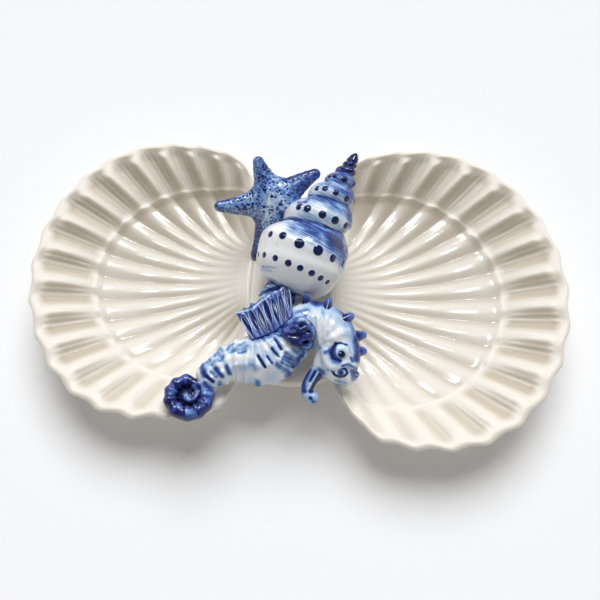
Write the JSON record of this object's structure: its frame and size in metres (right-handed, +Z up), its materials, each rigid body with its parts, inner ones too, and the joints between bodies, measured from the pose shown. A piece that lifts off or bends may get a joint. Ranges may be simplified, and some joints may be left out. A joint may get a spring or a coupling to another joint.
{
  "type": "double dish",
  "caption": "Glazed double serving dish: fluted scallop shell bowls on foot rings, joined by a bridge that carries a whelk, a starfish and a curled seahorse as a handle.",
  "frame": {"origin": "middle of the footprint, on the surface that the foot rings stand on", "axes": "+X from the smaller dish to the larger one, +Y to the back, +Z up"},
  "size_m": [0.3548, 0.2214, 0.0848],
  "materials": {
    "cream_glaze": "glossy cream glaze",
    "white_and_blue_glaze": "glossy white glaze with cobalt brushwork",
    "cobalt_glaze": "glossy cobalt wash"
  },
  "bodies": {
    "root": {"left_dish": "cream_glaze", "right_dish": "cream_glaze", "centre_bridge": "cream_glaze", "left_foot_ring": "cream_glaze", "right_foot_ring": "cream_glaze", "whelk_shell": "white_and_blue_glaze", "seahorse_trunk": "white_and_blue_glaze", "seahorse_neck": "white_and_blue_glaze", "seahorse_head": "white_and_blue_glaze", "seahorse_eye_upper": "white_and_blue_glaze", "seahorse_eye_lower": "white_and_blue_glaze", "starfish": "cobalt_glaze", "seahorse_tail": "cobalt_glaze", "seahorse_snout": "cobalt_glaze", "seahorse_dorsal_fin": "cobalt_glaze", "seahorse_pectoral_fin": "cobalt_glaze", "seahorse_coronet": "cobalt_glaze", "seahorse_crest_spine_1": "cobalt_glaze", "seahorse_crest_spine_2": "cobalt_glaze", "seahorse_crest_spine_3": "cobalt_glaze", "seahorse_crest_spine_4": "cobalt_glaze", "seahorse_crest_spine_5": "cobalt_glaze"}
  },
  "joints": []
}
